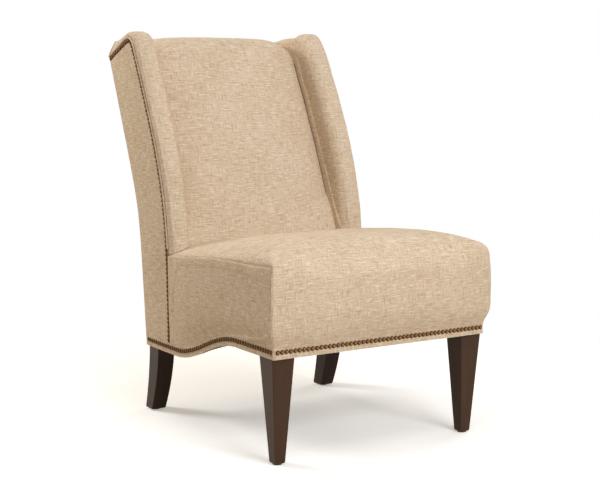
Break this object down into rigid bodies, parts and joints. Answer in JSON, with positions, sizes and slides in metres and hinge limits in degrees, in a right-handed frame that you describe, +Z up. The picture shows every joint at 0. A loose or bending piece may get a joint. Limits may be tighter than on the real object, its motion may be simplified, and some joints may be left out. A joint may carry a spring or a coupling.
{
  "type": "slipper chair",
  "caption": "Armless upholstered slipper chair with a tight seat, a raked winged back, nailhead trim and tapered wooden legs.",
  "frame": {"origin": "on the floor, under the centre of the chair's overall width and length", "axes": "+Z up, the chair faces -Y, +X to the right in a front view"},
  "size_m": [0.6144, 0.8926, 0.9691],
  "materials": {
    "upholstery_fabric": "slubby crosshatch linen-look weave in beige and tan, matt",
    "foam": "cream polyurethane foam, dull",
    "leg_wood": "espresso-brown stained hardwood, satin lacquer",
    "frame_wood": "unfinished planed hardwood",
    "frame_plywood": "unfinished plywood",
    "steel": "plain steel",
    "bronze_nails": "antique bronze, low shine",
    "webbing": "woven black webbing",
    "insulator_cloth": "needled natural-fibre pad",
    "dust_cloth": "thin black non-woven cloth",
    "glide_nylon": "black nylon"
  },
  "bodies": {
    "root": {"front_leg_left": "leg_wood", "front_leg_right": "leg_wood", "rear_leg_left": "leg_wood", "rear_leg_right": "leg_wood", "front_glide_left": "glide_nylon", "front_glide_right": "glide_nylon", "rear_glide_left": "glide_nylon", "rear_glide_right": "glide_nylon", "front_leg_bolt_left": "steel", "front_leg_bolt_right": "steel", "rear_leg_bolt_left": "steel", "rear_leg_bolt_right": "steel", "front_corner_block_left": "frame_wood", "front_corner_block_right": "frame_wood", "rear_corner_block_left": "frame_wood", "rear_corner_block_right": "frame_wood", "front_rail": "frame_wood", "rear_seat_rail": "frame_wood", "bottom_back_rail": "frame_wood", "lower_back_rail": "frame_wood", "top_back_rail": "frame_wood", "side_frame_left": "frame_plywood", "side_frame_right": "frame_plywood", "seat_spring_1": "steel", "seat_spring_2": "steel", "seat_spring_3": "steel", "seat_spring_4": "steel", "spring_insulator": "insulator_cloth", "back_strap_1": "webbing", "back_strap_2": "webbing", "back_strap_3": "webbing", "back_cross_strap_1": "webbing", "back_cross_strap_2": "webbing", "seat_foam": "foam", "back_foam": "foam", "wing_foam_left": "foam", "wing_foam_right": "foam", "seat_cover": "upholstery_fabric", "seat_side_cover_left": "upholstery_fabric", "seat_side_cover_right": "upholstery_fabric", "inside_back_cover": "upholstery_fabric", "outside_back_cover": "upholstery_fabric", "wing_cover_left": "upholstery_fabric", "wing_cover_right": "upholstery_fabric", "outside_wing_cover_left": "upholstery_fabric", "outside_wing_cover_right": "upholstery_fabric", "wing_welt_left": "upholstery_fabric", "wing_welt_right": "upholstery_fabric", "nail_trim_front": "bronze_nails", "nail_trim_base_left": "bronze_nails", "nail_trim_base_right": "bronze_nails", "nail_trim_wing_left": "bronze_nails", "nail_trim_wing_right": "bronze_nails", "dust_cover": "dust_cloth"}
  },
  "joints": []
}
